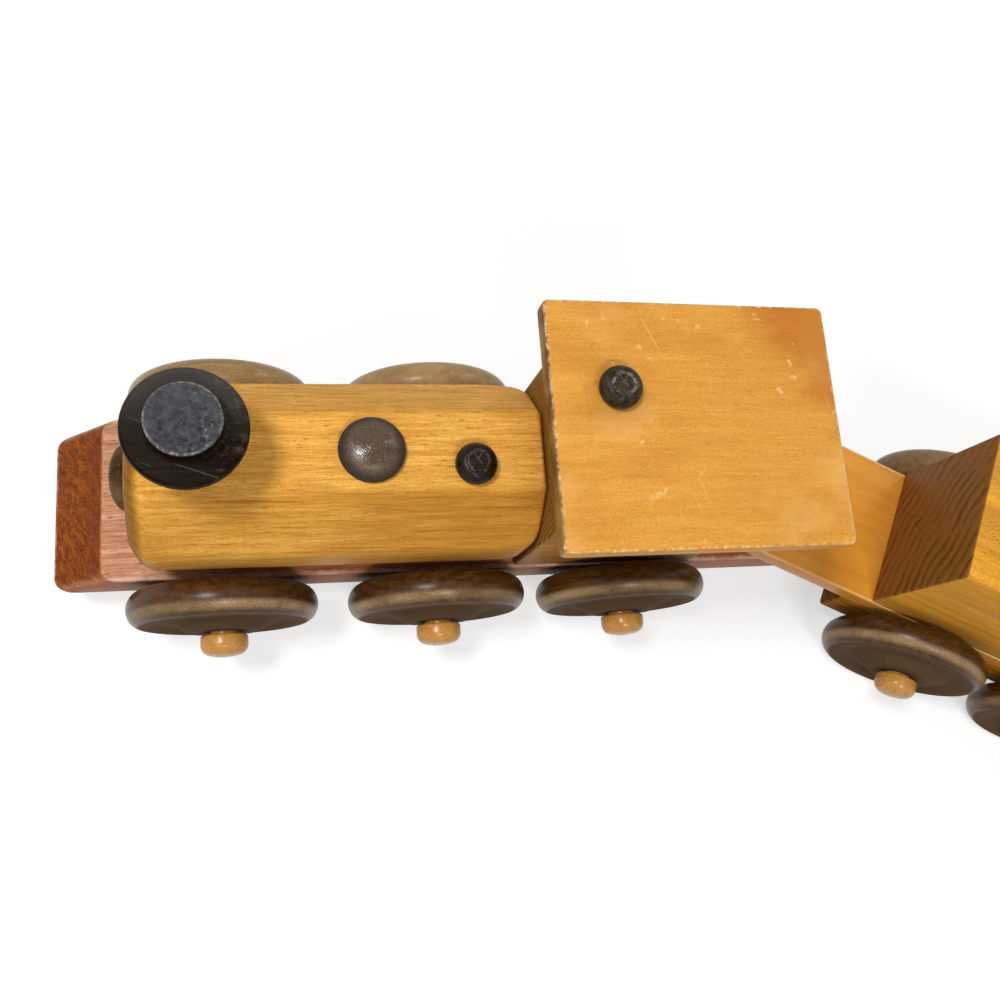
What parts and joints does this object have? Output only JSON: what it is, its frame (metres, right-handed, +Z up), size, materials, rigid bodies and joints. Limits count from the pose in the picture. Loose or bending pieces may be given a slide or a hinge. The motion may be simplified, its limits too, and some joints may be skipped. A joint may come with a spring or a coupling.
{
  "type": "wooden toy train",
  "caption": "Wooden push-along steam engine with octagonal boiler, overhanging cab roof and turned stack, with a hitched tender that swings, all on free-rolling dished wheels.",
  "frame": {"origin": "on the floor, under the middle of the box round the whole train with its tender swung as pictured", "axes": "+X backwards along the engine from its nose to its tender, +Y to the engine's right side, +Z up"},
  "size_m": [0.3994, 0.152, 0.1181],
  "materials": {
    "chassis_wood": "satin varnish on reddish hardwood",
    "boiler_wood": "satin varnish on pale softwood",
    "cab_wood": "satin varnish on brown end grain",
    "roof_wood": "satin varnish, worn pale along the edges",
    "stack_wood": "black stain, worn and scratched",
    "dome_wood": "gloss varnish on dark stain",
    "whistle_wood": "black stain, worn brown at the rim",
    "peg_wood": "satin varnish on pale hardwood",
    "wheel_wood": "gloss varnish on walnut stain",
    "deck_wood": "gloss varnish on pale softwood",
    "frame_wood": "satin varnish on dark hardwood",
    "tender_body_wood": "satin varnish on brown softwood"
  },
  "bodies": {
    "engine": {"engine_chassis": "chassis_wood", "boiler": "boiler_wood", "cab": "cab_wood", "cab_roof": "roof_wood", "smokestack": "stack_wood", "steam_dome": "dome_wood", "headlight": "dome_wood", "boiler_whistle": "whistle_wood", "roof_whistle": "whistle_wood", "hitch_pin": "peg_wood", "front_left_engine_peg": "peg_wood", "middle_left_engine_peg": "peg_wood", "rear_left_engine_peg": "peg_wood", "front_right_engine_peg": "peg_wood", "middle_right_engine_peg": "peg_wood", "rear_right_engine_peg": "peg_wood"},
    "tender": {"tender_deck": "deck_wood", "tender_frame": "frame_wood", "tender_body": "tender_body_wood", "front_left_tender_peg": "peg_wood", "rear_left_tender_peg": "peg_wood", "front_right_tender_peg": "peg_wood", "rear_right_tender_peg": "peg_wood"},
    "front_left_engine_wheel": {"front_left_engine_wheel": "wheel_wood"},
    "middle_left_engine_wheel": {"middle_left_engine_wheel": "wheel_wood"},
    "rear_left_engine_wheel": {"rear_left_engine_wheel": "wheel_wood"},
    "front_right_engine_wheel": {"front_right_engine_wheel": "wheel_wood"},
    "middle_right_engine_wheel": {"middle_right_engine_wheel": "wheel_wood"},
    "rear_right_engine_wheel": {"rear_right_engine_wheel": "wheel_wood"},
    "front_left_tender_wheel": {"front_left_tender_wheel": "wheel_wood"},
    "rear_left_tender_wheel": {"rear_left_tender_wheel": "wheel_wood"},
    "front_right_tender_wheel": {"front_right_tender_wheel": "wheel_wood"},
    "rear_right_tender_wheel": {"rear_right_tender_wheel": "wheel_wood"}
  },
  "joints": [
    {"name": "tender_swing", "type": "hinge", "parent": "engine", "child": "tender", "pos_m": [0.03497, 0.0292, 0.04055], "axis": [0, 0, 1], "range_deg": [-49.3, 100.7]},
    {"name": "front_left_engine_wheel_spin", "type": "hinge", "parent": "engine", "child": "front_left_engine_wheel", "pos_m": [-0.14853, -0.0042, 0.0286], "axis": [0, 1, 0], "continuous": true},
    {"name": "front_right_engine_wheel_spin", "type": "hinge", "parent": "engine", "child": "front_right_engine_wheel", "pos_m": [-0.14853, 0.0626, 0.0286], "axis": [0, 1, 0], "continuous": true},
    {"name": "middle_left_engine_wheel_spin", "type": "hinge", "parent": "engine", "child": "middle_left_engine_wheel", "pos_m": [-0.08193, -0.0042, 0.0286], "axis": [0, 1, 0], "continuous": true},
    {"name": "middle_right_engine_wheel_spin", "type": "hinge", "parent": "engine", "child": "middle_right_engine_wheel", "pos_m": [-0.08193, 0.0626, 0.0286], "axis": [0, 1, 0], "continuous": true},
    {"name": "rear_left_engine_wheel_spin", "type": "hinge", "parent": "engine", "child": "rear_left_engine_wheel", "pos_m": [-0.01883, -0.0042, 0.0286], "axis": [0, 1, 0], "continuous": true},
    {"name": "rear_right_engine_wheel_spin", "type": "hinge", "parent": "engine", "child": "rear_right_engine_wheel", "pos_m": [-0.01883, 0.0626, 0.0286], "axis": [0, 1, 0], "continuous": true},
    {"name": "front_left_tender_wheel_spin", "type": "hinge", "parent": "tender", "child": "front_left_tender_wheel", "pos_m": [0.08698, -0.03268, 0.0286], "axis": [0.4337, 0.9011, 0], "continuous": true},
    {"name": "front_right_tender_wheel_spin", "type": "hinge", "parent": "tender", "child": "front_right_tender_wheel", "pos_m": [0.11578, 0.02715, 0.0286], "axis": [0.4337, 0.9011, 0], "continuous": true},
    {"name": "rear_left_tender_wheel_spin", "type": "hinge", "parent": "tender", "child": "rear_left_tender_wheel", "pos_m": [0.1442, -0.06022, 0.0286], "axis": [0.4337, 0.9011, 0], "continuous": true},
    {"name": "rear_right_tender_wheel_spin", "type": "hinge", "parent": "tender", "child": "rear_right_tender_wheel", "pos_m": [0.173, -0.00039, 0.0286], "axis": [0.4337, 0.9011, 0], "continuous": true}
  ]
}
